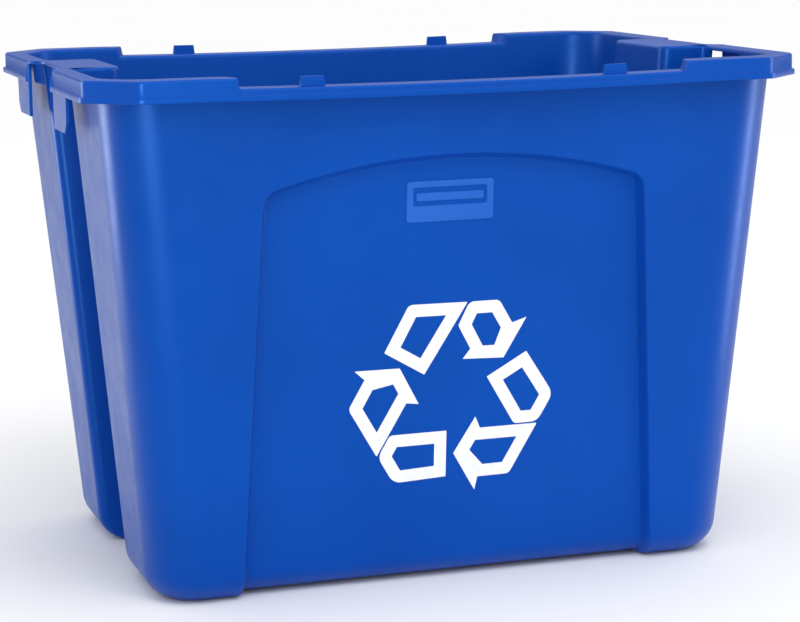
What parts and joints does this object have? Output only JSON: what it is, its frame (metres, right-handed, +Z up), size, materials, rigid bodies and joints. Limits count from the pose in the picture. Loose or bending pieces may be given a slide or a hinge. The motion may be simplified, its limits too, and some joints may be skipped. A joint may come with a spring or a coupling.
{
  "type": "kerbside recycling box",
  "caption": "Open rectangular kerbside recycling box with a drafted tub, corner posts, end hand-holds, stacking rim and a printed recycling mark on a sunk arched panel.",
  "frame": {"origin": "on the floor, below the centre of the box", "axes": "+X along the length, -Y faces the printed front, +Z up"},
  "size_m": [0.527, 0.406, 0.375],
  "materials": {
    "body_blue": "satin-gloss injection-moulded polyethylene, one colour all through",
    "print_white": "white screen-printed ink"
  },
  "bodies": {
    "root": {"box_body": "body_blue", "arrow_1_tail": "print_white", "arrow_1_head": "print_white", "arrow_2_tail": "print_white", "arrow_2_head": "print_white", "arrow_3_tail": "print_white", "arrow_3_head": "print_white"}
  },
  "joints": []
}
